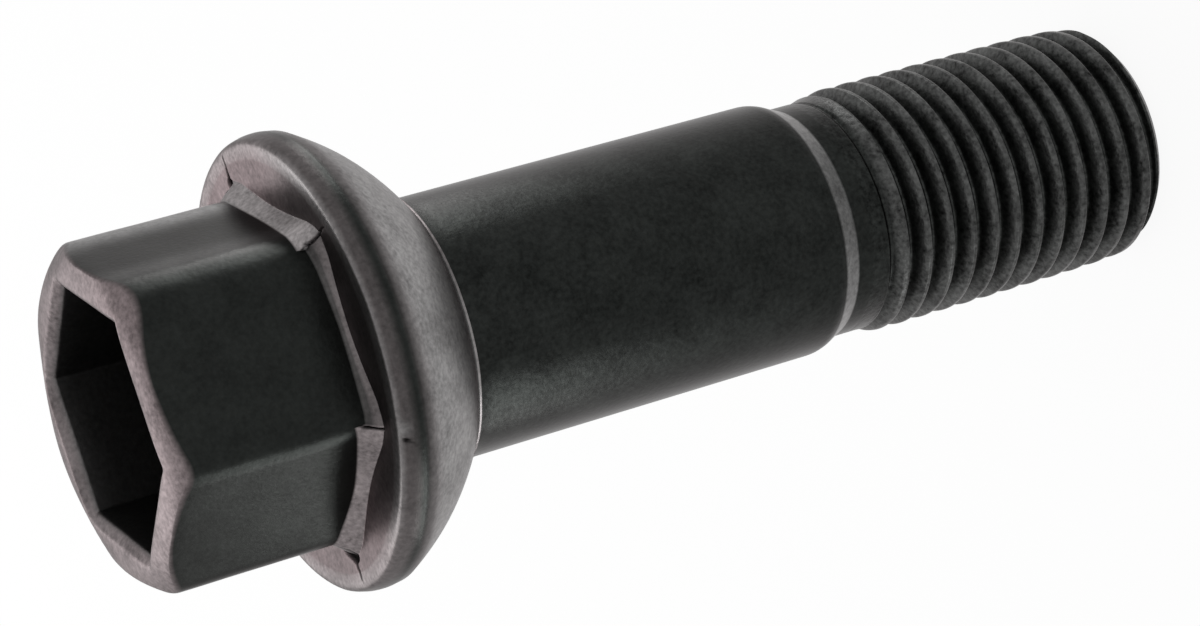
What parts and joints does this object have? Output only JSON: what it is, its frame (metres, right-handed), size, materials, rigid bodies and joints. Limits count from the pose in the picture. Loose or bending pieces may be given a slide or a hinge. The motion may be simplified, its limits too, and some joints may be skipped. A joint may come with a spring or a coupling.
{
  "type": "wheel bolt",
  "caption": "One-piece wheel bolt with a hollow hexagon head, a round collar with a ball seat, a plain shank and a fine thread.",
  "frame": {"origin": "centre of the flat end of the thread, on which the bolt stands", "axes": "+Z along the bolt's axis from the threaded end to the head; two corners of the hexagon on the X axis"},
  "size_m": [0.0248, 0.0248, 0.063],
  "materials": {
    "black_steel": "black conversion coating on forged and rolled steel, dull sheen, paler on edges"
  },
  "bodies": {
    "root": {"wheel_bolt": "black_steel"}
  },
  "joints": []
}
